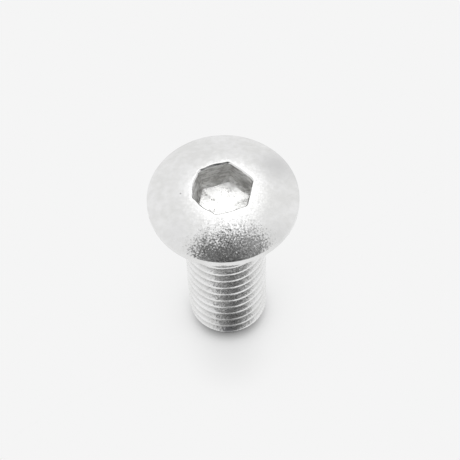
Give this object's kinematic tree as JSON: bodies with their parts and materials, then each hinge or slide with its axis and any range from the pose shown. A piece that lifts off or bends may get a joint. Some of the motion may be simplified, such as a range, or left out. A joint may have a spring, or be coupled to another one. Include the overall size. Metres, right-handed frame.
{
  "type": "button head bolt",
  "caption": "Low button head bolt with a hexagon socket and a fully threaded shank, standing on its thread end.",
  "frame": {"origin": "middle of the flat end face of the thread", "axes": "+Z along the bolt's axis from the thread's end to the head; a corner of the hexagon socket points to +Y"},
  "size_m": [0.014, 0.014, 0.0224],
  "materials": {
    "plated_steel": "bright zinc plating over cold formed steel, satin with a fine grain"
  },
  "bodies": {
    "root": {"bolt": "plated_steel"}
  },
  "joints": []
}
